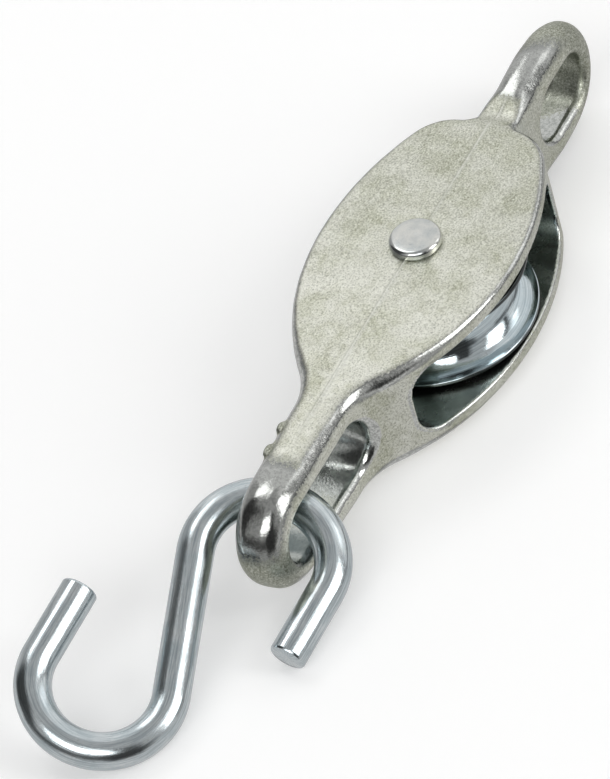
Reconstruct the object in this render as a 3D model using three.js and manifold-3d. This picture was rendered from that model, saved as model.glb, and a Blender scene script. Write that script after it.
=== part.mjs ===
// Small single-sheave rope block with a cast one-piece frame and an open S-hook.
//
// Frame: millimetres. The block lies on its back: +X runs along the block to the becket eye,
// +Z points out of the front cheek, and the rope leaves the sheave at the two sides, +Y and -Y.
// The origin is on the supporting surface, under the middle of the whole object's box.

import * as THREE from 'three';
import * as BufferGeometryUtils from 'three/addons/utils/BufferGeometryUtils.js';
import Module from 'manifold-3d';

const wasm = await Module();
wasm.setup();

// ---------- driving dimensions ----------

const wireDiameter = 6.0; // round steel wire of the S-hook

// Cast frame, measured from the middle of the axle.
const cheekHalfWidth = 17.1; // half width of a cheek at the axle
const hookSideArcRadius = 47.0; // convex long edges, on the S-hook's side of the axle
const hookSideFilletRadius = 12.0; // long concave fillet from there into the hook eye's bars
const becketSideArcRadius = 50.0; // convex long edges, on the becket's side of the axle
const shoulderRadius = 9.0; // blunt shoulder at the becket end of a cheek
const shoulderFilletRadius = 2.0; // short concave fillet from the shoulder into the becket's bars
const hookBarHalfWidth = 4.5; // half width of the hook eye's bars, across the block
const becketBarHalfWidth = 3.8; // half width of the becket eye's bars
const edgeHalfDepth = 9.2; // half depth of the frame at the cheeks' edges
const ridgeHalfDepth = 9.9; // half depth along the middle of a cheek, on its crown
const axleBoreRadius = 3.1; // hole through both cheeks

// Sheave window between the cheeks.
const windowHalfDepth = 6.5;
const windowHookEnd = -24.7;
const windowBecketEnd = 22.0;
const windowCornerRadius = 4.0;

// Eyes: a loop at each end of the frame, with its hole running across the block.
const becketHoleStart = 36.0; // axle to the near end of the becket eye's hole
const becketHoleEnd = 52.0; // axle to the far end of that hole
const slotHoleStart = 31.0; // axle to the near end of the hook eye's long hole
const slotHoleEnd = 58.0; // axle to the far end of that hole
const eyeHoleHalfDepth = 5.3; // half height of both holes
const barDepth = 4.6; // thickness of a bar, through the block
const barRun = 5.0; // how far a loop's bars run back into the neck
const barEdge = 1.6; // rounding of a bar's edges

// Rivet axle.
const axleRadius = 3.0;
const rivetHeadRadius = 4.3;
const madeHeadHeight = 1.5; // front head, as the rivet is supplied
const formedHeadHeight = 2.0; // rear head, pressed over on assembly
const rivetHeadEdge = 0.6; // rounding of a head's rim
const rivetSeatGap = 0.05; // clearance under each head

// Sheave, pressed in two halves on a bush.
const sheaveRadius = 17.0;
const grooveRadius = 12.6; // bottom of the rope groove
const sheaveHalfWidth = 5.8;
const rimLand = 0.9; // flat width of each rim
const halfJointGap = 0.1; // clearance between the two halves
const dishRadius = 8.0; // recess in each side face
const dishDepth = 0.7;
const bushOuterRadius = 5.0;
const bushInnerRadius = 3.05;
const bushHalfLength = 5.85;
const bushGap = 0.05;

// Thrust washers between the bush and the cheeks.
const washerOuterRadius = 6.5;
const washerInnerRadius = 3.1;
const washerThickness = 0.5;
const washerGap = 0.06;

// S-hook, bent from one wire in one plane.
const hookBendRadius = 10.7; // centreline radius of both bends
const hookBendSweep = 200; // degrees, each bend
const hookMiddleLength = 24.3; // straight wire between the bends
const hookLegLength = 12.4; // straight wire at each open end

// Where the S-hook lies: on the supporting surface, with its upper bend through the long hole.
const hookCentre = new THREE.Vector3(-58.66, 0.76, -2.31); // centre of the upper bend, from the axle
const hookYaw = 3.0; // degrees, turn of the bend's crown towards +Y
const hookPitch = -16.0; // degrees, slope of the crown up into the hole
const hookRoll = 20.2; // degrees, lean of the hook's plane onto its open leg

// Facets.
const outlineSegments = 8; // per arc of the plan outline
const crownSteps = 4; // either side of the ridge
const loopSteps = 24; // along an eye's loop
const boreSegments = 32;
const turnedSegments = 40;
const sheaveSegments = 48;
const grooveSteps = 6;
const wireSteps = 58;

// ---------- materials ----------

function metal(color, roughness) {
  return new THREE.MeshStandardMaterial({ color, roughness, metalness: 1.0 });
}

// ---------- solids ----------

function toManifold(geometry) {
  const bare = geometry.clone();
  bare.deleteAttribute('normal');
  bare.deleteAttribute('uv');
  const merged = BufferGeometryUtils.mergeVertices(bare, 1e-4);
  return new wasm.Manifold(new wasm.Mesh({
    numProp: 3,
    vertProperties: new Float32Array(merged.attributes.position.array),
    triVerts: new Uint32Array(merged.index.array),
  }));
}

function toGeometry(solid) {
  const mesh = solid.getMesh();
  const geometry = new THREE.BufferGeometry();
  geometry.setAttribute('position', new THREE.BufferAttribute(new Float32Array(mesh.vertProperties), 3));
  geometry.setIndex(new THREE.BufferAttribute(new Uint32Array(mesh.triVerts), 1));
  geometry.computeVertexNormals();
  return geometry;
}

// A shape drawn in (x, y), extruded along z between two heights.
function prism(shape, low, high, curveSegments = 12) {
  const geometry = new THREE.ExtrudeGeometry(shape, { depth: high - low, bevelEnabled: false, curveSegments });
  geometry.translate(0, 0, low);
  return geometry;
}

// A ring or disc: points are (radius, height) pairs, turned about the z axis.
function turned(points, segments) {
  const profile = points.map(([radius, height]) => new THREE.Vector2(radius, height));
  const geometry = new THREE.LatheGeometry(profile, segments);
  geometry.rotateX(Math.PI / 2);
  return geometry;
}

// ---------- cast frame ----------

// How far the solid necks run, past the near ends of the eyes' holes.
const becketReach = becketHoleStart + barRun;
const hookReach = slotHoleStart + barRun;

// Angles and centres of the two arcs that join an end of a cheek to its bars.
function hookSideArcs() {
  const arcCentreY = cheekHalfWidth - hookSideArcRadius;
  const filletCentreY = hookBarHalfWidth + hookSideFilletRadius;
  const rise = filletCentreY - arcCentreY;
  const filletCentreX = Math.sqrt((hookSideArcRadius + hookSideFilletRadius) ** 2 - rise ** 2);
  return { arcCentreY, filletCentreX, filletCentreY, tangent: Math.atan2(rise, filletCentreX) };
}

function becketSideArcs() {
  const arcCentreY = cheekHalfWidth - becketSideArcRadius;
  const shoulderCentreY = becketBarHalfWidth;
  const rise = shoulderCentreY - arcCentreY;
  const shoulderCentreX = Math.sqrt((becketSideArcRadius - shoulderRadius) ** 2 - rise ** 2);
  const span = shoulderRadius + shoulderFilletRadius;
  const filletCentreX = shoulderCentreX + Math.sqrt(span ** 2 - shoulderFilletRadius ** 2);
  return {
    arcCentreY,
    shoulderCentreX,
    shoulderCentreY,
    filletCentreX,
    filletCentreY: becketBarHalfWidth + shoulderFilletRadius,
    tangent: Math.atan2(rise, shoulderCentreX),
    shoulderTangent: Math.asin(shoulderFilletRadius / span),
  };
}

// Plan outline of the frame. It is drawn along the +Y edge and mirrored for the -Y edge.
function planOutline() {
  const hook = hookSideArcs();
  const becket = becketSideArcs();
  const quarter = Math.PI / 2;
  const edge = new THREE.Path();
  edge.moveTo(becketReach, 0);
  edge.lineTo(becketReach, becketBarHalfWidth);
  edge.absarc(
    becket.filletCentreX,
    becket.filletCentreY,
    shoulderFilletRadius,
    -quarter,
    becket.shoulderTangent - Math.PI,
    true,
  );
  edge.absarc(
    becket.shoulderCentreX,
    becket.shoulderCentreY,
    shoulderRadius,
    becket.shoulderTangent,
    becket.tangent,
    false,
  );
  edge.absarc(0, becket.arcCentreY, becketSideArcRadius, becket.tangent, quarter, false);
  edge.absarc(0, hook.arcCentreY, hookSideArcRadius, quarter, Math.PI - hook.tangent, false);
  edge.absarc(-hook.filletCentreX, hook.filletCentreY, hookSideFilletRadius, -hook.tangent, -quarter, true);
  edge.lineTo(-hookReach, hookBarHalfWidth);
  edge.lineTo(-hookReach, 0);
  const half = edge.getPoints(outlineSegments);
  const mirrored = half.map((point) => new THREE.Vector2(point.x, -point.y)).reverse();
  return new THREE.Shape([...half, ...mirrored.slice(1, -1)]);
}

// Cross-section of the frame, (y, z), with both faces crowned.
function crownedSection() {
  const crown = ridgeHalfDepth - edgeHalfDepth;
  const reach = cheekHalfWidth + 1;
  const front = [];
  for (let i = -crownSteps; i <= crownSteps; i += 1) {
    const y = (i / crownSteps) * reach;
    front.push(new THREE.Vector2(y, ridgeHalfDepth - crown * (y / cheekHalfWidth) ** 2));
  }
  const back = front.map((point) => new THREE.Vector2(-point.x, -point.y));
  return new THREE.Shape([...front, ...back]);
}

// Sheave window, (x, z): a rounded rectangle.
function windowShape() {
  const r = windowCornerRadius;
  const quarter = Math.PI / 2;
  const shape = new THREE.Shape();
  shape.absarc(windowBecketEnd - r, windowHalfDepth - r, r, 0, quarter, false);
  shape.absarc(windowHookEnd + r, windowHalfDepth - r, r, quarter, 2 * quarter, false);
  shape.absarc(windowHookEnd + r, -windowHalfDepth + r, r, 2 * quarter, 3 * quarter, false);
  shape.absarc(windowBecketEnd - r, -windowHalfDepth + r, r, 3 * quarter, 4 * quarter, false);
  return shape;
}

// Turns a prism drawn in (x, z) so that it runs across the block, along y.
function acrossBlock(geometry) {
  return geometry.rotateX(Math.PI / 2);
}

// Path of an eye's bars: out along the front bar, round the end and back along the rear one.
class LoopPath extends THREE.Curve {
  constructor(start, bendCentre, radius, side) {
    super();
    this.start = start;
    this.bendCentre = bendCentre;
    this.radius = radius;
    this.side = side;
  }

  getPoint(t) {
    const straight = this.bendCentre - this.start;
    const arc = Math.PI * this.radius;
    const travelled = t * (2 * straight + arc);
    if (travelled < straight) {
      return new THREE.Vector3(this.side * (this.start + travelled), 0, this.radius);
    }
    if (travelled > straight + arc) {
      const back = travelled - straight - arc;
      return new THREE.Vector3(this.side * (this.bendCentre - back), 0, -this.radius);
    }
    const angle = (travelled - straight) / this.radius;
    const x = this.bendCentre + this.radius * Math.sin(angle);
    return new THREE.Vector3(this.side * x, 0, this.radius * Math.cos(angle));
  }
}

// Section of a bar: a rounded rectangle, wider across the block than through it.
function barSection(halfWidth) {
  const w = halfWidth;
  const d = barDepth / 2;
  const r = barEdge;
  const quarter = Math.PI / 2;
  const shape = new THREE.Shape();
  shape.absarc(d - r, w - r, r, 0, quarter, false);
  shape.absarc(-d + r, w - r, r, quarter, 2 * quarter, false);
  shape.absarc(-d + r, -w + r, r, 2 * quarter, 3 * quarter, false);
  shape.absarc(d - r, -w + r, r, 3 * quarter, 4 * quarter, false);
  return shape;
}

function eyeLoop(holeStart, holeEnd, side, halfWidth) {
  const radius = eyeHoleHalfDepth + barDepth / 2;
  const bendCentre = holeEnd - eyeHoleHalfDepth;
  const path = new LoopPath(holeStart - barRun, bendCentre, radius, side);
  return new THREE.ExtrudeGeometry(barSection(halfWidth), {
    steps: loopSteps,
    bevelEnabled: false,
    extrudePath: path,
    curveSegments: 3,
  });
}

// The near, round end of an eye's hole and the open space beyond it.
function holeCutter(holeStart, side) {
  const r = eyeHoleHalfDepth;
  const far = side * (holeStart + barRun + r);
  const near = side * (holeStart + r);
  const quarter = Math.PI / 2;
  const shape = new THREE.Shape();
  shape.moveTo(far, -r);
  shape.lineTo(near, -r);
  shape.absarc(near, 0, r, -quarter, quarter, side > 0);
  shape.lineTo(far, r);
  return acrossBlock(prism(shape, -cheekHalfWidth, cheekHalfWidth));
}

function castFrame() {
  const lengthwise = prism(crownedSection(), -hookReach - 1, becketReach + 1);
  // The prism's (x, y, z) becomes the block's (y, z, x).
  lengthwise.rotateX(Math.PI / 2);
  lengthwise.rotateZ(Math.PI / 2);
  const bore = turned([
    [0, -ridgeHalfDepth - 1],
    [axleBoreRadius, -ridgeHalfDepth - 1],
    [axleBoreRadius, ridgeHalfDepth + 1],
    [0, ridgeHalfDepth + 1],
  ], boreSegments);
  const frame = toManifold(prism(planOutline(), -ridgeHalfDepth - 1, ridgeHalfDepth + 1))
    .intersect(toManifold(lengthwise))
    .subtract(toManifold(holeCutter(becketHoleStart, 1)))
    .subtract(toManifold(holeCutter(slotHoleStart, -1)))
    .add(toManifold(eyeLoop(becketHoleStart, becketHoleEnd, 1, becketBarHalfWidth)))
    .add(toManifold(eyeLoop(slotHoleStart, slotHoleEnd, -1, hookBarHalfWidth)))
    .subtract(toManifold(acrossBlock(prism(windowShape(), -cheekHalfWidth - 1, cheekHalfWidth + 1))))
    .subtract(toManifold(bore));
  return toGeometry(frame);
}

// ---------- rivet axle ----------

// Shank and both heads in one piece: the rear head is the formed one.
function rivet() {
  const seat = ridgeHalfDepth + rivetSeatGap;
  const front = seat + madeHeadHeight;
  const rear = seat + formedHeadHeight;
  const flat = rivetHeadRadius - rivetHeadEdge;
  return turned([
    [0, -rear],
    [flat, -rear],
    [rivetHeadRadius, -rear + rivetHeadEdge],
    [rivetHeadRadius, -seat],
    [axleRadius, -seat],
    [axleRadius, seat],
    [rivetHeadRadius, seat],
    [rivetHeadRadius, front - rivetHeadEdge],
    [flat, front],
    [0, front],
  ], 32);
}

// ---------- sheave ----------

// Half of a sheave, seen as (radius, height): the groove side is at the joint, height 0.
function sheaveHalf(side) {
  const low = halfJointGap / 2;
  const high = sheaveHalfWidth;
  const land = high - rimLand;
  const points = [
    [bushOuterRadius + bushGap, low],
    [grooveRadius, low],
  ];
  for (let i = 1; i <= grooveSteps; i += 1) {
    const angle = (i / grooveSteps) * (Math.PI / 2);
    points.push([
      grooveRadius + (sheaveRadius - grooveRadius) * (1 - Math.cos(angle)),
      low + (land - low) * Math.sin(angle),
    ]);
  }
  points.push(
    [sheaveRadius, high],
    [dishRadius + dishDepth, high],
    [dishRadius, high - dishDepth],
    [bushOuterRadius + bushGap, high - dishDepth],
    [bushOuterRadius + bushGap, low],
  );
  const placed = points.map(([radius, height]) => [radius, side * height]);
  return turned(side > 0 ? placed : placed.reverse(), sheaveSegments);
}

function ring(inner, outer, low, high) {
  return turned([
    [inner, low],
    [outer, low],
    [outer, high],
    [inner, high],
    [inner, low],
  ], turnedSegments);
}

// ---------- S-hook ----------

// Centreline of the hook in its own plane. The upper bend's centre is the origin, and the bend's
// crown points along +x. The wire runs from the open leg by the frame to the far open leg.
class HookPath extends THREE.CurvePath {
  constructor() {
    super();
    const sweep = THREE.MathUtils.degToRad(hookBendSweep);
    const start = -sweep / 2;
    const end = sweep / 2;
    const r = hookBendRadius;
    const onCircle = (angle) => new THREE.Vector3(r * Math.cos(angle), r * Math.sin(angle), 0);
    const along = (angle) => new THREE.Vector3(-Math.sin(angle), Math.cos(angle), 0);
    const first = onCircle(start).addScaledVector(along(start), -hookLegLength);
    this.add(new THREE.LineCurve3(first, onCircle(start)));
    this.add(new Arc(new THREE.Vector3(), r, start, end));
    const middle = onCircle(end).addScaledVector(along(end), hookMiddleLength);
    this.add(new THREE.LineCurve3(onCircle(end), middle));
    const centre = middle.clone().addScaledVector(new THREE.Vector3(Math.cos(end), Math.sin(end), 0), r);
    const arrive = end + Math.PI;
    const leave = arrive - sweep;
    this.add(new Arc(centre, r, arrive, leave));
    const last = centre.clone().addScaledVector(new THREE.Vector3(Math.cos(leave), Math.sin(leave), 0), r);
    this.add(new THREE.LineCurve3(last, last.clone().addScaledVector(along(leave), -hookLegLength)));
  }
}

class Arc extends THREE.Curve {
  constructor(centre, radius, from, to) {
    super();
    this.centre = centre;
    this.radius = radius;
    this.from = from;
    this.to = to;
  }

  getPoint(t) {
    const angle = THREE.MathUtils.lerp(this.from, this.to, t);
    return new THREE.Vector3(
      this.centre.x + this.radius * Math.cos(angle),
      this.centre.y + this.radius * Math.sin(angle),
      this.centre.z,
    );
  }
}

function hookWire() {
  const section = new THREE.Shape();
  section.absarc(0, 0, wireDiameter / 2, 0, 2 * Math.PI, false);
  return new THREE.ExtrudeGeometry(section, {
    steps: wireSteps,
    bevelEnabled: false,
    extrudePath: new HookPath(),
    curveSegments: 6,
  });
}

// ---------- assembly ----------

const zinc = 0xc9c8c0;
const plate = 0xc3cad2;
const bronze = 0xa08a60;

function piece(name, geometry, material) {
  const mesh = new THREE.Mesh(geometry, material);
  mesh.name = name;
  return mesh;
}

const block = new THREE.Group();
block.add(piece('cast_frame', castFrame(), metal(zinc, 0.4)));
block.add(piece('axle_rivet', rivet(), metal(plate, 0.2)));
block.add(piece('sheave_front_half', sheaveHalf(1), metal(plate, 0.25)));
block.add(piece('sheave_rear_half', sheaveHalf(-1), metal(plate, 0.25)));
const bush = ring(bushInnerRadius, bushOuterRadius, -bushHalfLength, bushHalfLength);
block.add(piece('axle_bush', bush, metal(bronze, 0.4)));
for (const [name, side] of [['front_thrust_washer', 1], ['rear_thrust_washer', -1]]) {
  const near = bushHalfLength + washerGap;
  const far = near + washerThickness;
  const low = side > 0 ? near : -far;
  const high = side > 0 ? far : -near;
  block.add(piece(name, ring(washerInnerRadius, washerOuterRadius, low, high), metal(plate, 0.3)));
}

const hook = new THREE.Group();
hook.add(piece('s_hook', hookWire(), metal(plate, 0.2)));
hook.position.copy(hookCentre);
hook.rotation.set(
  THREE.MathUtils.degToRad(hookRoll),
  THREE.MathUtils.degToRad(hookPitch),
  THREE.MathUtils.degToRad(hookYaw),
  'ZYX',
);
block.add(hook);

// The surface that the block and the hook lie on is at z = 0.
const box = new THREE.Box3().setFromObject(block, true);
const middle = box.getCenter(new THREE.Vector3());
block.position.set(-middle.x, -middle.y, -box.min.z);

const group = new THREE.Group();
group.add(block);
export default group;
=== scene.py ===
# Looks of the sheave block: the cast frame, its rivet, sheave and S-hook, on a pale floor.
#
# Shapes are worked out in millimetres in the block's own frame, whose origin is the middle of the
# axle: +X runs to the becket eye, +Z out of the front cheek, and the rope leaves at +Y and -Y.
# Pieces are then placed in the row frame, in metres.

import math

import bpy
import numpy as np
from mathutils import Matrix, Vector


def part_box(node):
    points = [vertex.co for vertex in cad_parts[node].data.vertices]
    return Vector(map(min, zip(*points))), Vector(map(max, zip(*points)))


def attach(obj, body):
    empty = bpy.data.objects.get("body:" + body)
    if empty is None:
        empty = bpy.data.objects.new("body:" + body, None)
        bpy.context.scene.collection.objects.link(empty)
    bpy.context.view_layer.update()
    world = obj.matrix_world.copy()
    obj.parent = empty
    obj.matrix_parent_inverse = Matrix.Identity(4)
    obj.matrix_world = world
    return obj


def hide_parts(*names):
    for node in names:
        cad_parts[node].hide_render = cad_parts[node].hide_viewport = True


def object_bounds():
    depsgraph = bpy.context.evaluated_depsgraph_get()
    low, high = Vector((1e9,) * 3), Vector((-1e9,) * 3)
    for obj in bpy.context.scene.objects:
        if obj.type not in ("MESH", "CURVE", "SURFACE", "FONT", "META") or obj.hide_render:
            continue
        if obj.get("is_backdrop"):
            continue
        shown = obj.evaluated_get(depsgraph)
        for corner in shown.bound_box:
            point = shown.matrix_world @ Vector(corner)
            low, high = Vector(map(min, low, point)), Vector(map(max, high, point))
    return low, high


MM = 0.001
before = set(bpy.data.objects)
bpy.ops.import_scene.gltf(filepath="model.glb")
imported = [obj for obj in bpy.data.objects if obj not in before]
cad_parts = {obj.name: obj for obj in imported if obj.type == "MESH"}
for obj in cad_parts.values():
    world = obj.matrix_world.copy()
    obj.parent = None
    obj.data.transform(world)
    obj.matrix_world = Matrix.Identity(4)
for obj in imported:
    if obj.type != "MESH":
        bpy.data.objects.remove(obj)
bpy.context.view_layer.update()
bush_low, bush_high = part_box("axle_bush")
AXLE = np.array((bush_low + bush_high) / 2)  # the block's origin in the row frame, in metres

# ---------- dimensions of the casting, in millimetres ----------

CHEEK_HALF_WIDTH = 17.1
HOOK_SIDE_RADIUS = 47.0
HOOK_FILLET_RADIUS = 12.0
BECKET_SIDE_RADIUS = 50.0
SHOULDER_RADIUS = 9.0
SHOULDER_FILLET_RADIUS = 2.0
HOOK_BAR_HALF_WIDTH = 4.5
BECKET_BAR_HALF_WIDTH = 3.65
EDGE_HALF_DEPTH = 9.2
RIDGE_HALF_DEPTH = 9.9
AXLE_BORE_RADIUS = 3.1

WINDOW_HALF_DEPTH = 6.5
WINDOW_HOOK_END = -24.7
WINDOW_BECKET_END = 22.0
WINDOW_CORNER_RADIUS = 4.0
WINDOW_EDGE = 0.5  # rounding of the window's rim

EYE_HALF_DEPTH = 5.3
BECKET_HOLE = (36.0, 52.0)
HOOK_HOLE = (-58.0, -31.0)
EYE_EDGE = 1.7  # rounding of the holes' rims
BAR_CROWN = 0.035  # fullness of the bars' outer faces: drop per square of the distance from the middle
RING_CROWN = 0.075  # the same at the becket eye
HOLE_FLARE = 0.025  # the same of the holes' faces
CROWN_REACH = 6.0  # distance from the middle at which all three stop growing

CHEEK_EDGE = 1.15  # rounding of the cheeks' outer edges
BAR_EDGE = 2.7  # rounding of the bars' outer edges, next to the necks
LOOP_EDGE = 3.3  # and at the loops' far ends
DIP_DEPTH = 1.2  # hollow in both faces where the becket eye's bars leave the cheeks
DIP_MIDDLE = 29.8
DIP_CHEEK_WIDTH = 2.0
DIP_RING_WIDTH = 4.0
SWELL_HEIGHT = 0.7  # how far the becket eye stands out beyond the hollow
SWELL_MIDDLE = 43.0
SWELL_WIDTH = 6.0
WAVE_HEIGHT = 0.03  # unevenness of the cast faces
PARTING_HEIGHT = 0.15
PARTING_WIDTH = 0.25

# Gate marks on one edge of the hook eye's front bar: middle, and half sizes along and across it.
GATE_MARKS = (((-41.1, 4.0, 8.7), 1.2, 0.66), ((-46.0, 3.9, 8.65), 1.3, 0.62))
GATE_MARK_FILLET = 0.4

# Stretches over which one thing turns into another. Those named HOOK run along -x, the others along +x.
HOOK_BAR_ROUNDS = (14, 38)
HOOK_LOOP_ROUNDS = (45, 57)
HOOK_CROWN_GROWS = (37, 48)
HOOK_POLISH_STARTS = (46.5, 51)
HOOK_END_DULLS = (54, 60)
HOOK_NECK_WIDENS = (12, 34)
BECKET_BAR_ROUNDS = (29, 36)
BECKET_LOOP_ROUNDS = (40, 52)
BECKET_CROWN_GROWS = (31, 37)
BECKET_POLISH_STARTS = (32.5, 35.5)
BECKET_END_DULLS = (41, 48)
PARTING_STARTS = (-47, -36)
PARTING_ENDS = (30, 35)

# ---------- dimensions of the other pieces, in millimetres ----------

RIVET_HEAD_RADIUS = 4.3
MADE_HEAD_HEIGHT = 1.5  # the front head
FORMED_HEAD_HEIGHT = 2.0  # the rear one
RIVET_SHANK_RADIUS = 3.0
HEAD_GAP = 0.05  # between a head and its cheek
HEAD_SHOULDER = 0.85  # rounding of a head's outer edge
DIMPLE_RADIUS = 0.55
DIMPLE_DEPTH = 0.03

SHEAVE_RADIUS = 17.0
GROOVE_RADIUS = 12.6
SHEAVE_HALF_WIDTH = 5.8
RIM_LAND = 0.9
RECESS_FLOOR_RADIUS = 8.0  # of the shallow recess round the bush on each side
RECESS_RIM_RADIUS = 8.7
RECESS_DEPTH = 0.7
BUSH_OUTER_RADIUS = 5.0
BUSH_INNER_RADIUS = 3.05
BUSH_HALF_LENGTH = 5.85
BUSH_GAP = 0.05  # between the bush and the sheave
WASHER_INNER_RADIUS = 3.1
WASHER_OUTER_RADIUS = 6.5
WASHER_NEAR_FACE = 5.91
WASHER_FAR_FACE = 6.41

WIRE_RADIUS = 3.0
BEND_RADIUS = 10.7
BEND_SWEEP = math.radians(200)
MIDDLE_LENGTH = 24.3
LEG_LENGTH = 12.4
CHAMFER = 0.4
HOOK_CENTRE = (-58.66, 0.76, -2.31)
HOOK_ROLL, HOOK_PITCH, HOOK_YAW = 20.2, -16.0, 3.0  # degrees

# ---------- meshes ----------


def smoothstep(value, start, end):
    share = np.clip((value - start) / (end - start), 0, 1)
    return share * share * (3 - 2 * share)


def to_row(points):
    """Block millimetres to row-frame metres."""
    return np.asarray(points) * MM + AXLE


def mesh_object(name, points, faces, smooth_angle=None, normals=None):
    mesh = bpy.data.meshes.new(name)
    mesh.from_pydata(to_row(points).tolist(), [], [list(map(int, face)) for face in faces])
    mesh.validate()
    mesh.shade_smooth()
    if smooth_angle is not None:
        mesh.set_sharp_from_angle(angle=math.radians(smooth_angle))
    if normals is not None:
        mesh.normals_split_custom_set_from_vertices(normals.tolist())
    thing = bpy.data.objects.new(name, mesh)
    bpy.context.scene.collection.objects.link(thing)
    return thing


def store(thing, name, values):
    """Keeps a number or a vector for each point of the mesh, for its material to read."""
    values = np.asarray(values, np.float32)
    kind, key = ("FLOAT", "value") if values.ndim == 1 else ("FLOAT_VECTOR", "vector")
    attribute = thing.data.attributes.new(name, kind, "POINT")
    attribute.data.foreach_set(key, values.ravel())


# ---------- cast frame, as a distance function ----------


def side_arcs():
    """(centre x, centre y, radius, first angle, last angle, sign) of each arc of the +Y edge."""
    hook_centre_y = CHEEK_HALF_WIDTH - HOOK_SIDE_RADIUS
    hook_fillet_y = HOOK_BAR_HALF_WIDTH + HOOK_FILLET_RADIUS
    rise = hook_fillet_y - hook_centre_y
    hook_fillet_x = -math.sqrt((HOOK_SIDE_RADIUS + HOOK_FILLET_RADIUS) ** 2 - rise**2)
    hook_tangent = math.atan2(rise, -hook_fillet_x)
    becket_centre_y = CHEEK_HALF_WIDTH - BECKET_SIDE_RADIUS
    rise = BECKET_BAR_HALF_WIDTH - becket_centre_y
    shoulder_x = math.sqrt((BECKET_SIDE_RADIUS - SHOULDER_RADIUS) ** 2 - rise**2)
    becket_tangent = math.atan2(rise, shoulder_x)
    span = SHOULDER_RADIUS + SHOULDER_FILLET_RADIUS
    turn = math.asin(SHOULDER_FILLET_RADIUS / span)
    fillet_x = shoulder_x + math.sqrt(span**2 - SHOULDER_FILLET_RADIUS**2)
    fillet_y = BECKET_BAR_HALF_WIDTH + SHOULDER_FILLET_RADIUS
    quarter = math.pi / 2
    arcs = [
        (fillet_x, fillet_y, SHOULDER_FILLET_RADIUS, turn - math.pi, -quarter, -1),
        (shoulder_x, BECKET_BAR_HALF_WIDTH, SHOULDER_RADIUS, turn, becket_tangent, 1),
        (0, becket_centre_y, BECKET_SIDE_RADIUS, becket_tangent, quarter, 1),
        (0, hook_centre_y, HOOK_SIDE_RADIUS, quarter, math.pi - hook_tangent, 1),
        (hook_fillet_x, hook_fillet_y, HOOK_FILLET_RADIUS, -quarter, -hook_tangent, -1),
    ]
    return arcs, hook_fillet_x, fillet_x


ARCS, HOOK_BAR_START, BECKET_BAR_START = side_arcs()


def plan_distance(x, y):
    """Signed distance to the outline seen from the front, with both ends' bars running on."""
    x, y = np.broadcast_arrays(x, np.abs(y))
    value = np.full(x.shape, -50.0)
    nearest = np.full(x.shape, np.inf)

    def offer(distance, valid):
        better = valid & (np.abs(distance) < nearest)
        value[better] = distance[better]
        nearest[better] = np.abs(distance[better])

    for centre_x, centre_y, radius, first, last, sign in ARCS:
        dx, dy = x - centre_x, y - centre_y
        angle = np.arctan2(dy, dx)
        offer(sign * (np.hypot(dx, dy) - radius), (angle >= first) & (angle <= last))
    offer(y - HOOK_BAR_HALF_WIDTH, x <= HOOK_BAR_START)
    offer(y - BECKET_BAR_HALF_WIDTH, x >= BECKET_BAR_START)
    return value


def rounded_max(one, other, radius):
    """The intersection of two shapes, with the edge where they meet rounded."""
    outside = np.hypot(np.maximum(one + radius, 0), np.maximum(other + radius, 0))
    return np.minimum(np.maximum(one, other), -radius) + outside


def rounded_min(one, other, radius):
    """Two shapes joined, with a fillet where they meet."""
    return -rounded_max(-one, -other, radius)


def slot_distance(x, z, start, end):
    """Signed distance to an eye's hole: a slot with round ends, from start to end along x."""
    past = np.maximum(start + EYE_HALF_DEPTH - x, 0) + np.maximum(x - end + EYE_HALF_DEPTH, 0)
    return np.hypot(past, z) - EYE_HALF_DEPTH


def window_distance(x, z):
    middle = (WINDOW_BECKET_END + WINDOW_HOOK_END) / 2
    half = (WINDOW_BECKET_END - WINDOW_HOOK_END) / 2 - WINDOW_CORNER_RADIUS
    dx = np.abs(x - middle) - half
    dz = np.abs(z) - WINDOW_HALF_DEPTH + WINDOW_CORNER_RADIUS
    corner = np.hypot(np.maximum(dx, 0), np.maximum(dz, 0))
    return corner + np.minimum(np.maximum(dx, dz), 0) - WINDOW_CORNER_RADIUS


def edge_radius(x):
    """The outer edges are tight round the cheeks, fuller round the bars and fullest round the loops."""
    bar = smoothstep(-x, *HOOK_BAR_ROUNDS) + smoothstep(x, *BECKET_BAR_ROUNDS)
    loop = smoothstep(-x, *HOOK_LOOP_ROUNDS) + smoothstep(x, *BECKET_LOOP_ROUNDS)
    return CHEEK_EDGE + (BAR_EDGE - CHEEK_EDGE) * bar + (LOOP_EDGE - BAR_EDGE) * loop


def seam_fade(x):
    """1 where the parting line shows on the faces, 0 beyond its ends."""
    return smoothstep(x, *PARTING_STARTS) * (1 - smoothstep(x, *PARTING_ENDS))


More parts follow.
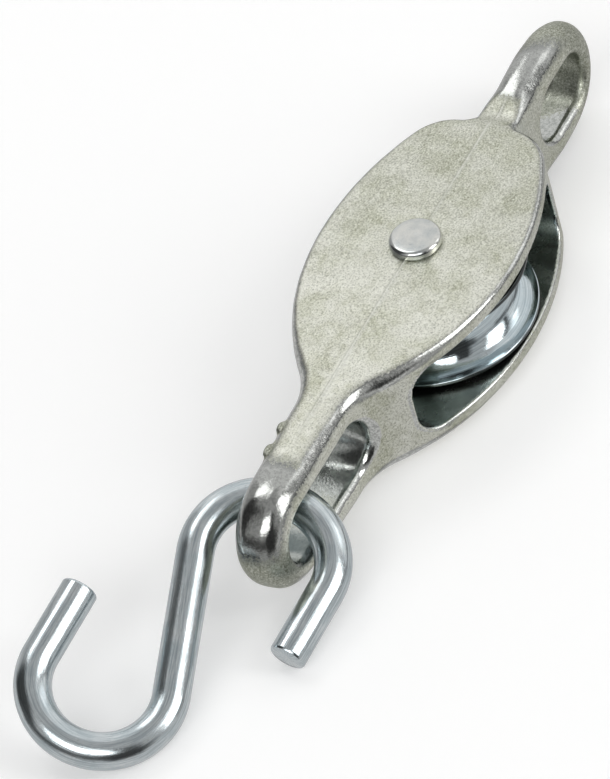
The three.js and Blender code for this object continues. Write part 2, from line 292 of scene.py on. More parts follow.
def face_distance(x, y, z):
    """Signed distance to the front and rear faces, which turn into each other at the far ends."""
    seam = PARTING_HEIGHT * np.exp(-((y / PARTING_WIDTH) ** 2)) * seam_fade(x)
    dip_width = np.where(x < DIP_MIDDLE, DIP_CHEEK_WIDTH, DIP_RING_WIDTH)
    dip = DIP_DEPTH * np.exp(-(((x - DIP_MIDDLE) / dip_width) ** 2))
    dip = dip - SWELL_HEIGHT * np.exp(-(((x - SWELL_MIDDLE) / SWELL_WIDTH) ** 2))
    crown = (RIDGE_HALF_DEPTH - EDGE_HALF_DEPTH) * (y / CHEEK_HALF_WIDTH) ** 2
    along_bars = smoothstep(-x, *HOOK_CROWN_GROWS) + smoothstep(x, *BECKET_CROWN_GROWS)
    crown = crown + np.where(x > 0, RING_CROWN, BAR_CROWN) * along_bars * np.minimum(y**2, CROWN_REACH**2)
    # Two crossing waves of unlike lengths, with the rear face's shifted from the front's.
    wave = WAVE_HEIGHT * np.sin(0.83 * x + 1.1 * y + 0.4) * np.sin(0.9 * y - 0.37 * x + 1.9 * np.sign(z))
    hook_bend = HOOK_HOLE[0] + EYE_HALF_DEPTH
    becket_bend = BECKET_HOLE[1] - EYE_HALF_DEPTH
    past = np.maximum(hook_bend - x, 0) + np.maximum(x - becket_bend, 0)
    return np.hypot(past, z) - (RIDGE_HALF_DEPTH - crown - dip + seam + wave)


def casting_distance(x, y, z):
    """Signed distance to the cast frame's surface, near enough to its own distance near the surface."""
    body = rounded_max(plan_distance(x, y), face_distance(x, y, z), edge_radius(x))
    for hole in (BECKET_HOLE, HOOK_HOLE):
        flare = HOLE_FLARE * np.minimum(y**2, CROWN_REACH**2)
        body = rounded_max(body, -slot_distance(x, z, *hole) - flare, EYE_EDGE)
    body = rounded_max(body, -window_distance(x, z), WINDOW_EDGE)
    body = np.maximum(body, AXLE_BORE_RADIUS - np.hypot(x, y))
    for (mark_x, mark_y, mark_z), length, width in GATE_MARKS:
        along = (x - mark_x) * width / length
        mark = np.sqrt(along**2 + (y - mark_y) ** 2 + (z - mark_z) ** 2) - width
        body = rounded_min(body, mark, GATE_MARK_FILLET)
    return body


def casting_slope(points, step):
    """Gradient of the distance function at each point."""
    result = np.empty_like(points)
    for axis in range(3):
        shift = np.zeros(3)
        shift[axis] = step
        ahead = casting_distance(*(points + shift).T)
        behind = casting_distance(*(points - shift).T)
        result[:, axis] = (ahead - behind) / (2 * step)
    return result


def casting_bend(points, reach=0.7):
    """How strongly the surface bends outwards at each point: the distance function's Laplacian."""
    bend = -6 * casting_distance(*points.T)
    for axis in range(3):
        shift = np.zeros(3)
        shift[axis] = reach
        bend += casting_distance(*(points + shift).T) + casting_distance(*(points - shift).T)
    return bend / reach**2


def surface_nets(field, axes):
    """A quad mesh of the field's zero surface: one point in each cell that the surface crosses."""
    inside = field < 0
    cells = [size - 1 for size in field.shape]
    total = np.zeros((*cells, 3))
    count = np.zeros(cells)
    rings = []
    for along in range(3):
        second, third = (along + 1) % 3, (along + 2) % 3
        low = [slice(None)] * 3
        high = [slice(None)] * 3
        low[along], high[along] = slice(None, -1), slice(1, None)
        low, high = tuple(low), tuple(high)
        edge = np.argwhere(inside[low] != inside[high])
        first, last = field[low][tuple(edge.T)], field[high][tuple(edge.T)]
        share = first / (first - last)
        point = np.stack([axes[k][edge[:, k]] for k in range(3)], 1).astype(float)
        point[:, along] += share * (axes[along][edge[:, along] + 1] - axes[along][edge[:, along]])
        around = []
        for back_second, back_third in ((1, 1), (0, 1), (0, 0), (1, 0)):
            cell = edge.copy()
            cell[:, second] -= back_second
            cell[:, third] -= back_third
            flat = np.ravel_multi_index(tuple(cell.T), cells)
            around.append(flat)
            np.add.at(count.ravel(), flat, 1)
            np.add.at(total.reshape(-1, 3), flat, point)
        ring = np.stack(around, 1)
        leaving = first < 0
        ring[~leaving] = ring[~leaving][:, ::-1]
        rings.append(ring)
    used = np.flatnonzero(count)
    number = np.full(count.size, -1)
    number[used] = np.arange(len(used))
    points = total.reshape(-1, 3)[used] / count.ravel()[used][:, None]
    return points, number[np.concatenate(rings)]


def casting_surface(pitch=0.34, fine=0.12, fine_reach=0.9):
    """Points, faces and normals; the grid is finer across the parting line."""
    xs = np.arange(-64.05, 58.0, pitch)
    zs = np.arange(-10.88, 10.9, pitch)
    steps = np.concatenate([np.arange(0, fine_reach, fine), np.arange(fine_reach + fine, 18.0, pitch)])
    ys = np.concatenate([-steps[:0:-1], steps])
    field = casting_distance(xs[:, None, None], ys[None, :, None], zs[None, None, :])
    points, faces = surface_nets(field, (xs, ys, zs))
    for _ in range(4):
        slope = casting_slope(points, 0.02)
        steepness = np.maximum((slope**2).sum(1), 0.2)
        move = casting_distance(*points.T)[:, None] * slope / steepness[:, None]
        points -= np.clip(move, -pitch, pitch)
    slope = casting_slope(points, 0.03)
    return points, faces, slope / np.linalg.norm(slope, axis=1)[:, None]


# ---------- cast frame, with what its material reads ----------


def facing(normals, axis, start, end):
    """1 where the surface faces either way along the axis, 0 where it is well off it."""
    return smoothstep(np.abs(normals[:, axis]), start, end)


def dull_places(x, y, z):
    """1 at the eyes' far ends and round the gate marks, where tumbling hasn't polished the bars."""
    dull = smoothstep(-x, *HOOK_END_DULLS) * smoothstep(-z, -5.0, 0.0)
    dull = dull + smoothstep(x + 0.8 * y, *BECKET_END_DULLS)
    for (mark_x, mark_y, mark_z), length, _ in GATE_MARKS:
        away = np.sqrt((x - mark_x) ** 2 + (y - mark_y) ** 2 + (z - mark_z) ** 2)
        dull = dull + 1 - smoothstep(away, length, length + 0.8)
    return np.minimum(dull, 1)


def store_polish(thing, points, normals):
    """Polish on outer edges, on the bars and inside the holes, a painted dark reflection along its outline
    and over the polished bars, and dirt with painted shade.
    """
    x, y, z = points.T
    bars = smoothstep(-x, *HOOK_POLISH_STARTS) + smoothstep(x, *BECKET_POLISH_STARTS)
    edges = smoothstep(casting_bend(points) * edge_radius(x) / CHEEK_EDGE, 0.22, 0.50)
    edges *= 1 - facing(normals, 2, 0.75, 0.95)
    edges *= 1 - facing(normals, 1, 0.80, 0.97)
    edges *= np.where(seam_fade(x) > 0, smoothstep(np.abs(y), 0.6, 1.2), 1)
    holes = np.minimum(np.abs(slot_distance(x, z, *BECKET_HOLE)), np.abs(slot_distance(x, z, *HOOK_HOLE)))
    inner = (1 - smoothstep(holes, 0.3, 0.9)) * smoothstep(x, -45, -39) * 0.8
    dull = dull_places(x, y, z)
    polish = np.maximum(np.maximum(edges, inner), bars * (1 - facing(normals, 1, 0.80, 0.96)))
    polish *= 1 - dull
    store(thing, "polish", polish)
    # The rim mark is painted dark reflection: a dark line along the polish's outline on the outer edges
    # near the faces and at the hook eye's end, and a darkening of the polished bars.
    outermost = np.maximum(smoothstep(np.abs(z), 6.2, 7.4), smoothstep(-x, 50, 54))
    dark_reflection_on_bars = 0.5 * np.minimum(bars, 1) * polish * (1 - inner)
    store(thing, "rim", np.maximum(4 * polish * (1 - polish) * outermost, dark_reflection_on_bars))
    # Dirt round the gate marks, painted shade at the eyes' far ends (on the hook eye mostly its rear half),
    # and darker towards the becket end.
    store(thing, "grime_and_shade", np.maximum(dull, 0.35 * smoothstep(x, -18, 22)))


def store_seam(thing, points, normals):
    """The parting line's pale stroke on both faces, in a fainter band that widens to the hook's neck."""
    x, y, z = points.T
    faces = facing(normals, 2, 0.8, 0.95) * smoothstep(np.abs(z), 7.5, 8.5) * seam_fade(x)
    band = 0.2 + 0.9 * smoothstep(-x, *HOOK_NECK_WIDENS)
    stroke = np.maximum(np.exp(-((y / 0.24) ** 2)), 0.6 * np.exp(-((y / band) ** 4)))
    store(thing, "seam", faces * stroke)


def store_cavity(thing, points, normals, depth=9.0):
    """How closed in each point is, by how near the metal still is at this depth off the surface; the
    material darkens these places as painted shade.
    """
    x = points[:, 0]
    open_air = casting_distance(*(points + normals * depth).T) / depth
    in_window = smoothstep(x, -28, -24) * (1 - smoothstep(x, 22, 26))
    in_ring = smoothstep(x, 30, 33)
    strength = 0.45 + 0.55 * in_window - 0.3 * in_ring
    store(thing, "cavity", (1 - smoothstep(open_air, 0.2, 1.0)) * strength)


def casting_mesh(name):
    points, faces, normals = casting_surface()
    thing = mesh_object(name, points, faces, normals=normals)
    store_polish(thing, points, normals)
    store_seam(thing, points, normals)
    store_cavity(thing, points, normals)
    return thing


# ---------- turned pieces ----------


def rounded_profile(corners, steps=6):
    """Dense (radius, height) points along a closed profile; each corner is (radius, height, rounding)."""
    out = []
    for i, (radius, height, rounding) in enumerate(corners):
        here = np.array([radius, height], float)
        before = np.array(corners[i - 1][:2], float) - here
        after = np.array(corners[(i + 1) % len(corners)][:2], float) - here
        if rounding == 0:
            out.append(here)
            continue
        back, ahead = before / np.linalg.norm(before), after / np.linalg.norm(after)
        half = math.acos(np.clip(back @ ahead, -1, 1)) / 2
        reach = rounding / math.tan(half)
        centre = here + (back + ahead) / np.linalg.norm(back + ahead) * rounding / math.sin(half)
        start, end = here + back * reach - centre, here + ahead * reach - centre
        first = math.atan2(start[1], start[0])
        turn = (math.atan2(end[1], end[0]) - first + math.pi) % (2 * math.pi) - math.pi
        for k in range(steps + 1):
            angle = first + turn * k / steps
            out.append(centre + rounding * np.array([math.cos(angle), math.sin(angle)]))
    return np.array(out)


def ring_faces(rings, closed):
    """Faces between rings of points in turn; a ring of one point is the middle of a cap."""
    starts = np.concatenate([[0], np.cumsum([len(ring) for ring in rings])]).astype(int)
    faces = []
    for i in range(len(rings) if closed else len(rings) - 1):
        j = (i + 1) % len(rings)
        here, there = starts[i], starts[j]
        size = max(len(rings[i]), len(rings[j]))
        for k in range(size):
            after = (k + 1) % size
            if len(rings[i]) == 1:
                faces.append((here, there + after, there + k))
            elif len(rings[j]) == 1:
                faces.append((here + k, here + after, there))
            else:
                faces.append((here + k, here + after, there + after, there + k))
    return faces


def length_along(points):
    """Distance run along a line of points, at each of them."""
    return np.concatenate([[0], np.cumsum(np.linalg.norm(np.diff(points, axis=0), axis=1))])


def turned(name, profile, segments, smooth_angle=40, closed=True):
    """A ring turned about the axle. An open profile starts and ends on the axis, and makes a solid."""
    profile = np.asarray(profile, float)
    angles = np.arange(segments) / segments * 2 * math.pi
    run = length_along(profile)
    rings = [
        [(r * math.cos(angle), r * math.sin(angle), h) for angle in angles] if r > 0 else [(0, 0, h)]
        for r, h in profile
    ]
    flow = [(run[i], x, y) for i, ring in enumerate(rings) for x, y, _ in ring]
    points = [point for ring in rings for point in ring]
    thing = mesh_object(name, points, ring_faces(rings, closed), smooth_angle)
    store(thing, "flow", flow)
    return thing


def rivet_head(height):
    """Profile of one head from the middle of its top to the shank, with heights from the axle's middle."""
    seat = RIDGE_HALF_DEPTH + HEAD_GAP
    top = seat + height
    dimple = [(0.0, top - DIMPLE_DEPTH), (0.3, top - 0.02), (DIMPLE_RADIUS, top)]
    corners = [
        (DIMPLE_RADIUS + 0.05, top, 0),
        (RIVET_HEAD_RADIUS - 0.1, top - 0.02, HEAD_SHOULDER),
        (RIVET_HEAD_RADIUS, seat + 0.3, 0.2),
        (RIVET_HEAD_RADIUS - 0.15, seat, 0.08),
        (RIVET_SHANK_RADIUS, seat, 0),
        (RIVET_SHANK_RADIUS, 0, 0),
    ]
    return np.concatenate([dimple, rounded_profile(corners)[1:-1]])


def rivet_profile():
    front, rear = rivet_head(MADE_HEAD_HEIGHT), rivet_head(FORMED_HEAD_HEIGHT)
    return np.concatenate([front, rear[::-1] * (1, -1)])[::-1]


def sheave_profile(steps=40):
    """The groove is half an ellipse; steps are those of each half of it."""
    land = SHEAVE_HALF_WIDTH - RIM_LAND
    groove = []
    for i in range(1 - steps, steps):
        angle = i / steps * math.pi / 2
        rise = (SHEAVE_RADIUS - GROOVE_RADIUS) * (1 - math.cos(angle))
        groove.append((GROOVE_RADIUS + rise, land * math.sin(angle), 0))
    recess = SHEAVE_HALF_WIDTH - RECESS_DEPTH
    corners = [
        (BUSH_OUTER_RADIUS + BUSH_GAP, recess, 0),
        (RECESS_FLOOR_RADIUS, recess, 0.3),
        (RECESS_RIM_RADIUS, SHEAVE_HALF_WIDTH, 0.3),
        (SHEAVE_RADIUS, SHEAVE_HALF_WIDTH, 0.35),
        (SHEAVE_RADIUS, land, 0.25),
    ]
    lower = [(radius, -height, rounding) for radius, height, rounding in corners]
    return rounded_profile([*lower, *groove, *corners[::-1]])


def darken_sides(thing):
    """Marks the sheave's flat sides, which lie close under the cheeks, for painted shade."""
    points = (np.array([vertex.co[:] for vertex in thing.data.vertices]) - AXLE) / MM
    inward = SHEAVE_RADIUS - np.hypot(points[:, 0], points[:, 1])
    land = SHEAVE_HALF_WIDTH - RIM_LAND
    on_sides = smoothstep(np.abs(points[:, 2]), land + 0.05, land + 0.3)
    store(thing, "shelter", smoothstep(inward, -0.3, 0) * on_sides)


def ring_profile(inner, outer, low, high, rounding):
    return rounded_profile(
        [(inner, low, rounding), (outer, low, rounding), (outer, high, rounding), (inner, high, rounding)]
    )


# ---------- S-hook ----------


def hook_line(leg_steps=24, bend_steps=90, middle_steps=40):
    """Points and tangents of the wire's centreline, in the hook's own plane."""
    start, end = -BEND_SWEEP / 2, BEND_SWEEP / 2

    def on(angle):
        return np.array([math.cos(angle), math.sin(angle)])

    def along(angle):
        return np.array([-math.sin(angle), math.cos(angle)])

    points, tangents = [], []

    def straight(origin, direction, length, steps):
        for i in range(steps):
            points.append(origin + direction * length * i / steps)
            tangents.append(direction)
        return origin + direction * length

    def bend(centre, first, last):
        turn = 1 if last > first else -1
        for i in range(bend_steps):
            angle = first + (last - first) * i / bend_steps
            points.append(centre + BEND_RADIUS * on(angle))
            tangents.append(turn * along(angle))
        return centre + BEND_RADIUS * on(last)

    here = BEND_RADIUS * on(start) - along(start) * LEG_LENGTH
    straight(here, along(start), LEG_LENGTH, leg_steps)
    here = bend(np.zeros(2), start, end)
    here = straight(here, along(end), MIDDLE_LENGTH, middle_steps)
    centre = here + on(end) * BEND_RADIUS
    here = bend(centre, end + math.pi, end + math.pi - BEND_SWEEP)
    leave = -along(end + math.pi - BEND_SWEEP)
    here = straight(here, leave, LEG_LENGTH, leg_steps)
    points.append(here)
    tangents.append(leave)
    return np.array(points), np.array(tangents)


def hook_turn():
    turn = Matrix.Rotation(math.radians(HOOK_YAW), 3, "Z")
    turn = turn @ Matrix.Rotation(math.radians(HOOK_PITCH), 3, "Y")
    return np.array(turn @ Matrix.Rotation(math.radians(HOOK_ROLL), 3, "X"))


def wire_end():
    """(depth, radius) of the rings of a sawn end with its small rounded chamfer."""
    flat = [(0.0, 0.0), (0.0, 1.2), (0.0, WIRE_RADIUS - CHAMFER)]
    return [*flat, (0.12, WIRE_RADIUS - 0.16), (CHAMFER, WIRE_RADIUS)]


def hook_mesh(name, around=48):
    points, tangents = hook_line()
    run = length_along(points)
    rows = []
    for depth, radius in wire_end():
        rows.append((points[0] + tangents[0] * depth, tangents[0], radius, depth))
    for i in range(1, len(points) - 1):
        rows.append((points[i], tangents[i], WIRE_RADIUS, run[i]))
    for depth, radius in wire_end()[::-1]:
        rows.append((points[-1] - tangents[-1] * depth, tangents[-1], radius, run[-1] - depth))
    angles = np.arange(around) / around * 2 * math.pi
    rings, flow = [], []
    for centre, tangent, radius, length in rows:
        normal = np.array([-tangent[1], tangent[0]])
        ring = []
        for angle in angles if radius > 0 else [0]:
            across, out = math.cos(angle), math.sin(angle)
            flat = centre + normal * radius * across
            ring.append((flat[0], flat[1], radius * out))
            flow.append((length, WIRE_RADIUS * across, WIRE_RADIUS * out))
        rings.append(ring)
    points = np.array([point for ring in rings for point in ring])
    placed = points @ hook_turn().T + HOOK_CENTRE
    thing = mesh_object(name, placed, ring_faces(rings, False), 32)
    store(thing, "flow", flow)
    return thing


# ---------- materials ----------

ZINC_PALE = (0.75, 0.755, 0.67, 1)
ZINC_OLIVE = (0.55, 0.56, 0.44, 1)
ZINC_WHITE = (0.97, 0.975, 0.905, 1)
# dirt colour, also painted as shade at the eyes' far ends
ZINC_GRIME_AND_SHADE = (0.34, 0.355, 0.285, 1)
ZINC_GRAIN = (0.56, 0.56, 0.54, 1)  # darkens what it lies on
ZINC_PIT = (0.22, 0.22, 0.19, 1)
POLISH_DARK = (0.42, 0.43, 0.42, 1)
POLISH_LIGHT = (0.70, 0.71, 0.69, 1)
# painted dark reflection along the polish's outline and over the polished bars
PAINTED_DARK_REFLECTION = (0.15, 0.16, 0.155, 1)
# painted shade in hollows, between the cheeks and in the eye holes
ZINC_INSIDE_SHADE = (0.44, 0.50, 0.47, 1)

HOOK_TINTS = (0.76, 0.805, 0.82, 1), (0.62, 0.69, 0.715, 1)
SHEAVE_TINTS = (0.72, 0.79, 0.81, 1), (0.60, 0.69, 0.73, 1)
RIVET_TINTS = (0.82, 0.81, 0.77, 1), (0.76, 0.76, 0.72, 1)
PLATE_SPECK = (0.36, 0.37, 0.38, 1)
PLATE_MARK = (0.34, 0.40, 0.43, 1)
PLATE_PAINTED_SHADE = (0.05, 0.055, 0.055, 1)  # the sheave's sides, close under the cheeks

BRONZE = (0.5, 0.36, 0.2, 1)
BRONZE_PORE = (0.22, 0.15, 0.08, 1)
FLOOR_TONES = (0.86, 0.86, 0.86, 1), (0.88, 0.88, 0.875, 1)
FLOOR_GLOW = 0.235  # brings the floor up to the backdrop

# How plated pieces' marks stretch along the flow, which is in millimetres: drawn, turned, and even.
ALONG_WIRE = (0.05, 1.0, 1.0)
ROUND_AXLE = (1.0, 0.02, 0.02)
ALL_WAYS = (0.03, 0.03, 0.03)


class Shader:
    """A small builder round one material's node tree. A noise's scale is per unit of its vector."""

    def __init__(self, name):
        self.material = bpy.data.materials.new(name)
        self.material.use_nodes = True
        self.tree = self.material.node_tree
        self.surface = self.tree.nodes["Principled BSDF"]

    def node(self, kind, inputs=(), **settings):
        made = self.tree.nodes.new(kind)
        for key, value in settings.items():
            setattr(made, key, value)
        for key, value in dict(inputs).items():
            self.set(made.inputs[key], value)
        return made

    def set(self, socket, value):
        if isinstance(value, bpy.types.NodeSocket):
            self.tree.links.new(value, socket)
        else:
            socket.default_value = value

    def put(self, **values):
        for key, value in values.items():
            self.set(self.surface.inputs[key.replace("_", " ")], value)

    def attribute(self, name, output="Fac"):
        return self.node("ShaderNodeAttribute", attribute_name=name).outputs[output]

    def place(self):
        return self.node("ShaderNodeTexCoord").outputs["Object"]

    def stretch(self, vector, scale):
        return self.node("ShaderNodeMapping", {"Vector": vector, "Scale": scale}).outputs["Vector"]

    def noise(self, vector, scale, detail=3.0, roughness=0.55):
        inputs = {"Vector": vector, "Scale": scale, "Detail": detail, "Roughness": roughness}
        return self.node("ShaderNodeTexNoise", inputs).outputs["Fac"]

    def between(self, value, low, high, to_low=0.0, to_high=1.0):
        inputs = {"Value": value, "From Min": low, "From Max": high, "To Min": to_low, "To Max": to_high}
        return self.node("ShaderNodeMapRange", inputs).outputs["Result"]

    def calculate(self, operation, one, other):
        made = self.node("ShaderNodeMath", operation=operation)
        self.set(made.inputs[0], one)
        self.set(made.inputs[1], other)
        return made.outputs[0]

    def times(self, one, other):
        return self.calculate("MULTIPLY", one, other)

    def mix(self, share, one, other, blend="MIX"):
        made = self.node("ShaderNodeMix", data_type="RGBA", blend_type=blend)
        self.set(made.inputs[0], share)
        self.set(made.inputs[6], one)
        self.set(made.inputs[7], other)
        return made.outputs[2]

    def mix_numbers(self, share, one, other):
        made = self.node("ShaderNodeMix", data_type="FLOAT")
        self.set(made.inputs[0], share)
        self.set(made.inputs[2], one)
        self.set(made.inputs[3], other)
        return made.outputs[0]

    def bump(self, height, distance, strength=1.0, normal=None):
        inputs = {"Height": height, "Distance": distance, "Strength": strength}
        if normal is not None:
            inputs["Normal"] = normal
        return self.node("ShaderNodeBump", inputs).outputs["Normal"]


def satin_colour(look, place, grain):
    """The casting as it left the mould: pale and olive patches, white bloom, dirt with painted shade, grain
    and pits.
    """
    patches = look.between(look.noise(place, 150, 4, 0.62), 0.42, 0.62)
    clouds = look.between(look.noise(place, 700, 3, 0.6), 0.35, 0.65, 0.0, 0.3)
    pits = look.between(look.noise(place, 1700, 3, 0.7), 0.60, 0.70)
    colour = look.mix(patches, ZINC_PALE, ZINC_OLIVE)
    colour = look.mix(clouds, colour, ZINC_WHITE)
    # Dirt round the gate marks, painted shade at the eyes' far ends, and darker towards the becket end.
    colour = look.mix(look.times(look.attribute("grime_and_shade"), 0.85), colour, ZINC_GRIME_AND_SHADE)
    dark = look.mix(1.0, colour, ZINC_GRAIN, "MULTIPLY")
    colour = look.mix(look.between(grain, 0.34, 0.50), dark, colour)
    colour = look.mix(look.between(grain, 0.50, 0.66, 0.0, 0.6), colour, ZINC_WHITE)
    worn = look.between(look.noise(place, 90, 2), 0.35, 0.60, 0.2, 0.7)
    colour = look.mix(look.times(look.attribute("seam"), worn), colour, ZINC_WHITE)
    return look.mix(look.times(pits, 0.35), colour, ZINC_PIT)


def casting_material():
    look = Shader("zinc_casting")
    place = look.place()
    grain = look.noise(place, 3400, 3, 0.7)
    cavity = look.attribute("cavity")
    speckle = look.noise(place, 2000, 3, 0.7)
    ragged = look.between(speckle, 0.3, 0.7, -0.3, 0.3)
    polish = look.between(look.calculate("ADD", look.attribute("polish"), ragged), 0.35, 0.60)
    # Painted dark reflection along the polish's outline and over the polished bars.
    dark_reflection = look.times(look.attribute("rim"), look.between(ragged, -0.3, 0.3, 0.2, 0.9))
    tumbled = look.mix(look.between(speckle, 0.40, 0.58), POLISH_DARK, POLISH_LIGHT)
    colour = satin_colour(look, place, grain)
    colour = look.mix(look.times(polish, 0.9), colour, tumbled)
    colour = look.mix(dark_reflection, colour, PAINTED_DARK_REFLECTION)
    # Painted shade in hollows and between the cheeks.
    colour = look.mix(look.times(cavity, 0.78), colour, ZINC_INSIDE_SHADE)
    satin = look.between(look.noise(place, 260, 3), 0.3, 0.7, 0.38, 0.50)
    satin = look.calculate("SUBTRACT", satin, look.times(cavity, 0.24))
    bright = look.between(look.noise(place, 900, 4, 0.7), 0.35, 0.65, 0.08, 0.18)
    fine = look.bump(grain, 0.00004, 0.4)
    rough = look.bump(look.noise(place, 900, 4, 0.65), 0.00008, 0.35, fine)
    gloss = look.mix_numbers(polish, satin, bright)
    look.put(Base_Color=colour, Metallic=1.0, Roughness=gloss, Normal=rough)
    return look.material


def plated_material(name, tints, roughness, lines, line_depth):
    """Bright zinc plate over drawn or turned steel; lines is the stretch of its marks along the flow."""
    look = Shader(name)
    place = look.place()
    marks = look.noise(look.stretch(look.attribute("flow", "Vector"), lines), 4.0, 4, 0.6)
    cloud = look.noise(place, 220, 3, 0.6)
    speck = look.noise(place, 2200, 2, 0.6)
    colour = look.mix(look.between(cloud, 0.35, 0.65), *tints)
    colour = look.mix(look.between(speck, 0.62, 0.75, 0.0, 0.35), colour, PLATE_SPECK)
    colour = look.mix(look.between(marks, 0.42, 0.62, 0.0, 0.55), colour, PLATE_MARK)
    # Painted shade on the sheave's sides, close under the cheeks.
    colour = look.mix(look.attribute("shelter"), colour, PLATE_PAINTED_SHADE)
    dull = look.between(marks, 0.3, 0.7, *roughness)
    normal = look.bump(speck, 0.00002, 0.3, look.bump(marks, line_depth, 0.5))
    look.put(Base_Color=colour, Metallic=1.0, Roughness=dull, Normal=normal)
    return look.material


def bronze_material():
    look = Shader("bush_bronze")
    pores = look.noise(look.place(), 1800, 3, 0.7)
    colour = look.mix(look.between(pores, 0.4, 0.65), BRONZE, BRONZE_PORE)
    look.put(Base_Color=colour, Metallic=1.0, Roughness=look.between(pores, 0.3, 0.7, 0.28, 0.5))
    look.put(Normal=look.bump(pores, 0.00005, 0.5))
    return look.material


def floor_material():
    look = Shader("floor_paint")
    colour = look.mix(look.noise(look.place(), 3.0, 2), *FLOOR_TONES)
    look.put(Base_Color=colour, Roughness=0.9, Specular_IOR_Level=0.2)
    look.put(Emission_Color=(1, 1, 1, 1), Emission_Strength=FLOOR_GLOW)
    return look.material


# ---------- pieces ----------


def dress(thing, material, body, slot, *nodes):
    thing.data.materials.append(material)
    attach(thing, body)
    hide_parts(*nodes)


hook_plate = plated_material("hook_plate", HOOK_TINTS, (0.13, 0.24), ALONG_WIRE, 0.00004)
sheave_plate = plated_material("sheave_plate", SHEAVE_TINTS, (0.06, 0.13), ROUND_AXLE, 0.00003)
rivet_plate = plated_material("rivet_plate", RIVET_TINTS, (0.14, 0.20), ALL_WAYS, 0.00001)

dress(casting_mesh("casting"), casting_material(), "frame", "zinc_casting", "cast_frame")
rivet = turned("rivet", rivet_profile(), 96, closed=False)
dress(rivet, rivet_plate, "frame", "rivet_steel", "axle_rivet")
sheave = turned("sheave", sheave_profile(), 192)
darken_sides(sheave)
dress(sheave, sheave_plate, "sheave", "sheave_steel", "sheave_front_half", "sheave_rear_half")
bush_outline = ring_profile(BUSH_INNER_RADIUS, BUSH_OUTER_RADIUS, -BUSH_HALF_LENGTH, BUSH_HALF_LENGTH, 0.25)
dress(turned("bush", bush_outline, 96), bronze_material(), "sheave", "bush_bronze", "axle_bush")
for side, label in ((1, "front"), (-1, "rear")):
    low, high = sorted((side * WASHER_NEAR_FACE, side * WASHER_FAR_FACE))
    washer_outline = ring_profile(WASHER_INNER_RADIUS, WASHER_OUTER_RADIUS, low, high, 0.1)
    washer = turned(f"{label}_washer", washer_outline, 96)
    dress(washer, rivet_plate, "frame", "washer_steel", f"{label}_thrust_washer")
dress(hook_mesh("hook"), hook_plate, "hook", "hook_steel", "s_hook")

# ---------- floor, light and camera ----------

FLOOR_HALF_WIDTH = 6.0  # metres

# Walls, soft lights and dark gaps of the room, each painted over the ones before it. Angles are in
# degrees: azimuth 0 is towards -Y and 90 towards +X. (azimuth, elevation, half sizes, softness, level)
ROOM_CARDS = (
    (0, -50, 200, 48, 8, 0.60),  # ground, as the pieces mirror it
    (90, 32, 62, 36, 12, 0.80),  # pale wall on the +X side
    (60, -3, 45, 4, 4, 0.12),  # dark foot of that wall
    (167, 34, 16, 34, 10, 0.42),  # shaded corner beyond that wall
    (-155, 30, 28, 31, 10, 0.05),  # dark wall on the +Y side
    (-85, 4, 70, 12, 10, 0.10),  # dark skirting on the -X side
    (-42, 17, 18, 34, 8, 0.04),  # dark gap round and below the camera
    (-73, 41, 29, 12, 4, 3.6),  # soft light to the left of the camera
    (13, 31, 12, 21, 3, 3.6),  # soft light on the -Y side
    (31, 28, 3.5, 24, 3, 0.08),  # dark edge of that light
    (47, 33, 6, 13, 4, 1.7),  # narrow light beyond it
    (153, 58, 19, 10, 4, 2.8),  # small high light on the +Y side
)
CEILING_LEVEL = 0.42
BACKDROP_LEVEL = 0.95  # what the camera sees beyond the floor

CAMERA_RIGHT = Vector((0.434, -0.879, -0.196))
CAMERA_BACK = Vector((-0.560, -0.434, 0.706)).normalized()
CAMERA_RIGHT = (CAMERA_RIGHT - CAMERA_RIGHT.project(CAMERA_BACK)).normalized()
CAMERA_UP = CAMERA_BACK.cross(CAMERA_RIGHT)
CAMERA_OFFSET = (-19.385, -16.388, 1419.6)  # right, up and back from the axle, in millimetres
SENSOR_WIDTH = 36.0
LENS = 415.917843
CLIP_NEAR, CLIP_FAR = 0.1, 50


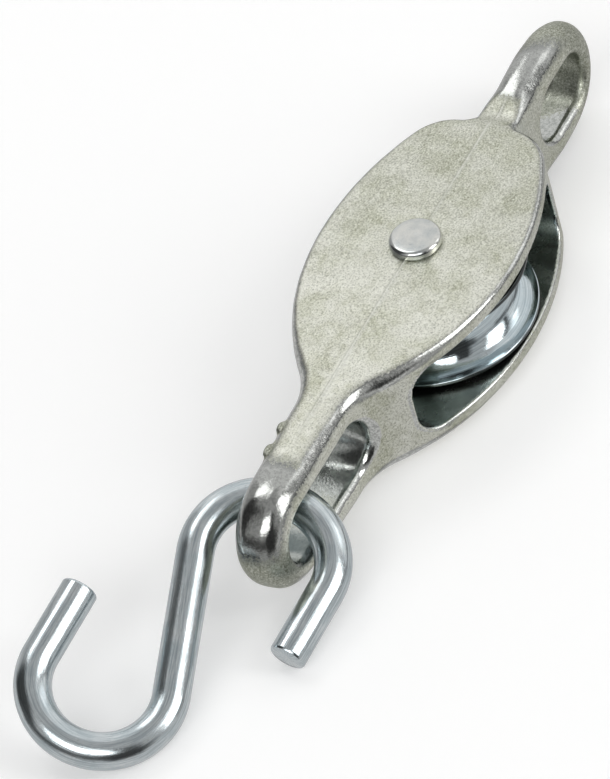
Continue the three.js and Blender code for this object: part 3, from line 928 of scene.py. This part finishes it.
def floor():
    mesh = bpy.data.meshes.new("floor")
    half = FLOOR_HALF_WIDTH
    corners = [(-half, -half, 0), (half, -half, 0), (half, half, 0), (-half, half, 0)]
    mesh.from_pydata(corners, [], [(0, 1, 2, 3)])
    thing = bpy.data.objects.new("floor", mesh)
    bpy.context.scene.collection.objects.link(thing)
    mesh.materials.append(floor_material())
    thing.visible_glossy = False  # the pieces mirror the room's ground instead
    thing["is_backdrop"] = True


def room():
    world = bpy.data.worlds.new("room")
    bpy.context.scene.world = world
    world.use_nodes = True
    nodes, links = world.node_tree.nodes, world.node_tree.links

    def plug(socket, value):
        if isinstance(value, bpy.types.NodeSocket):
            links.new(value, socket)
        else:
            socket.default_value = value

    def calculate(operation, *values):
        made = nodes.new("ShaderNodeMath")
        made.operation = operation
        for socket, value in zip(made.inputs, values):
            plug(socket, value)
        return made.outputs[0]

    def dot(vector, towards):
        made = nodes.new("ShaderNodeVectorMath")
        made.operation = "DOT_PRODUCT"
        plug(made.inputs[0], vector)
        plug(made.inputs[1], towards)
        return made.outputs["Value"]

    def inside(angle, half, softness):
        """1 where the angle is within half, falling to 0 over the softness."""
        made = nodes.new("ShaderNodeMapRange")
        made.interpolation_type = "SMOOTHSTEP"
        plug(made.inputs["Value"], calculate("ABSOLUTE", angle))
        near, far = math.radians(half - softness / 2), math.radians(half + softness / 2)
        for key, number in zip(("From Min", "From Max", "To Min", "To Max"), (near, far, 1, 0)):
            plug(made.inputs[key], number)
        return made.outputs["Result"]

    def mix(share, one, other):
        made = nodes.new("ShaderNodeMix")
        plug(made.inputs[0], share)
        plug(made.inputs[2], one)
        plug(made.inputs[3], other)
        return made.outputs[0]

    direction = nodes.new("ShaderNodeTexCoord").outputs["Generated"]
    elevation = calculate("ARCSINE", dot(direction, (0, 0, 1)))
    total = CEILING_LEVEL
    for azimuth, height, half_azimuth, half_height, softness, level in ROOM_CARDS:
        heading = math.radians(azimuth)
        ahead = dot(direction, (math.sin(heading), -math.cos(heading), 0))
        beside = dot(direction, (math.cos(heading), math.sin(heading), 0))
        across = inside(calculate("ARCTAN2", beside, ahead), half_azimuth, softness)
        up = inside(calculate("SUBTRACT", elevation, math.radians(height)), half_height, softness)
        total = mix(calculate("MULTIPLY", across, up), total, level)
    straight_on = nodes.new("ShaderNodeLightPath").outputs["Is Camera Ray"]
    background = nodes["Background"]
    plug(background.inputs["Strength"], mix(straight_on, total, BACKDROP_LEVEL))
    plug(background.inputs["Color"], (1, 1, 1, 1))


def camera():
    data = bpy.data.cameras.new("camera")
    data.sensor_width = SENSOR_WIDTH
    data.lens = LENS
    data.clip_start, data.clip_end = CLIP_NEAR, CLIP_FAR
    thing = bpy.data.objects.new("camera", data)
    bpy.context.scene.collection.objects.link(thing)
    right, up, back = CAMERA_OFFSET
    offset = CAMERA_RIGHT * right + CAMERA_UP * up + CAMERA_BACK * back
    turn = Matrix((CAMERA_RIGHT, CAMERA_UP, CAMERA_BACK)).transposed().to_4x4()
    thing.matrix_world = Matrix.Translation(Vector(AXLE) + offset * MM) @ turn
    bpy.context.scene.camera = thing


floor()
room()
camera()
bpy.context.scene.view_settings.view_transform = "Standard"

low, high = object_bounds()
